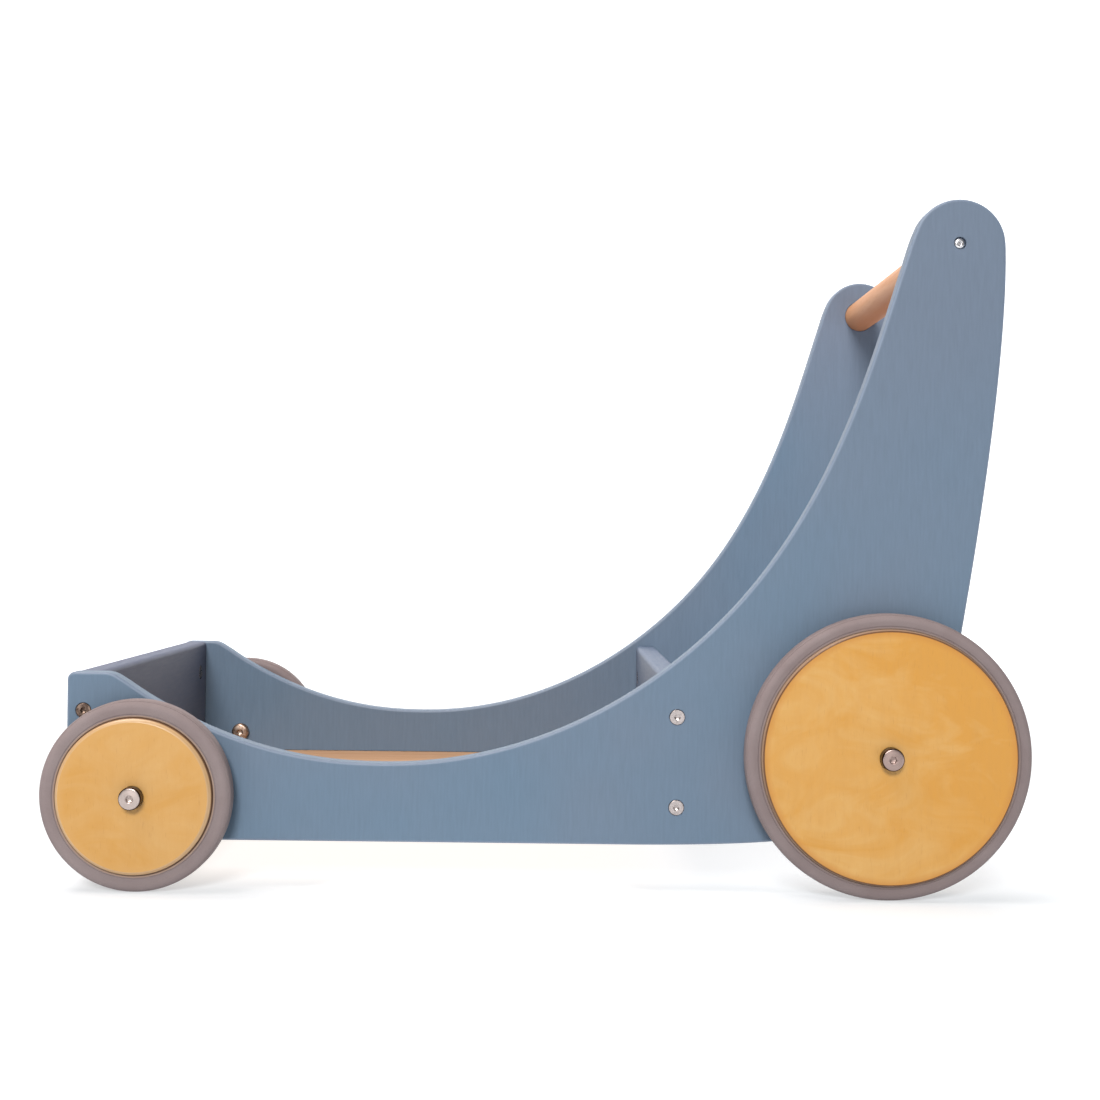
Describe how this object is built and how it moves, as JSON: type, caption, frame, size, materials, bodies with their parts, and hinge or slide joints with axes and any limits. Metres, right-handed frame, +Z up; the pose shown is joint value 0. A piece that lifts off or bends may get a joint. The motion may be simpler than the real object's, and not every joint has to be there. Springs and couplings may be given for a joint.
{
  "type": "baby push walker wagon",
  "caption": "Wooden push walker wagon for a baby: a low cargo tray between swooping side panels, on rolling rubber-tyred disc wheels, with a round push bar at the back.",
  "frame": {"origin": "on the ground, under the middle of the wagon's length and width", "axes": "+X towards the push bar, so the wagon rolls forward along -X; +Y towards its right side; +Z up"},
  "size_m": [0.5672, 0.3578, 0.405],
  "materials": {
    "painted_wood": "satin blue-grey paint",
    "floor_plywood": "matt clear varnish",
    "beech": "fine sanded, matt oil",
    "lacquered_birch": "amber satin lacquer",
    "tyre_rubber": "matt taupe rubber",
    "nylon": "plain moulded",
    "nickel_steel": "polished nickel plate"
  },
  "bodies": {
    "frame": {"floor_board": "floor_plywood", "front_board": "painted_wood", "front_board_bolt_left_lower": "nickel_steel", "front_board_bolt_left_upper": "nickel_steel", "front_board_bolt_right_lower": "nickel_steel", "front_board_bolt_right_upper": "nickel_steel", "front_board_nut_left_lower": "nickel_steel", "front_board_nut_left_upper": "nickel_steel", "front_board_nut_right_lower": "nickel_steel", "front_board_nut_right_upper": "nickel_steel", "front_left_axle_bolt": "nickel_steel", "front_left_axle_sleeve": "nickel_steel", "front_left_spacer": "nylon", "front_right_axle_bolt": "nickel_steel", "front_right_axle_sleeve": "nickel_steel", "front_right_spacer": "nylon", "push_bar": "beech", "push_bar_screw_left": "nickel_steel", "push_bar_screw_right": "nickel_steel", "rear_board": "painted_wood", "rear_board_bolt_left_lower": "nickel_steel", "rear_board_bolt_left_upper": "nickel_steel", "rear_board_bolt_right_lower": "nickel_steel", "rear_board_bolt_right_upper": "nickel_steel", "rear_board_nut_left_lower": "nickel_steel", "rear_board_nut_left_upper": "nickel_steel", "rear_board_nut_right_lower": "nickel_steel", "rear_board_nut_right_upper": "nickel_steel", "rear_left_axle_bolt": "nickel_steel", "rear_left_axle_sleeve": "nickel_steel", "rear_left_spacer": "nylon", "rear_right_axle_bolt": "nickel_steel", "rear_right_axle_sleeve": "nickel_steel", "rear_right_spacer": "nylon", "side_panel_left": "painted_wood", "side_panel_right": "painted_wood"},
    "front_left_wheel": {"front_left_wheel_disc": "lacquered_birch", "front_left_tyre": "tyre_rubber", "front_left_hub_bush": "nylon"},
    "front_right_wheel": {"front_right_wheel_disc": "lacquered_birch", "front_right_tyre": "tyre_rubber", "front_right_hub_bush": "nylon"},
    "rear_left_wheel": {"rear_left_wheel_disc": "lacquered_birch", "rear_left_tyre": "tyre_rubber", "rear_left_hub_bush": "nylon"},
    "rear_right_wheel": {"rear_right_wheel_disc": "lacquered_birch", "rear_right_tyre": "tyre_rubber", "rear_right_hub_bush": "nylon"}
  },
  "joints": [
    {"name": "front_left_wheel_roll", "type": "hinge", "parent": "frame", "child": "front_left_wheel", "pos_m": [-0.2286, -0.16215, 0.055], "axis": [0, -1, 0], "continuous": true},
    {"name": "front_right_wheel_roll", "type": "hinge", "parent": "frame", "child": "front_right_wheel", "pos_m": [-0.2286, 0.16215, 0.055], "axis": [0, -1, 0], "continuous": true},
    {"name": "rear_left_wheel_roll", "type": "hinge", "parent": "frame", "child": "rear_left_wheel", "pos_m": [0.2016, -0.16215, 0.082], "axis": [0, -1, 0], "continuous": true},
    {"name": "rear_right_wheel_roll", "type": "hinge", "parent": "frame", "child": "rear_right_wheel", "pos_m": [0.2016, 0.16215, 0.082], "axis": [0, -1, 0], "continuous": true}
  ]
}
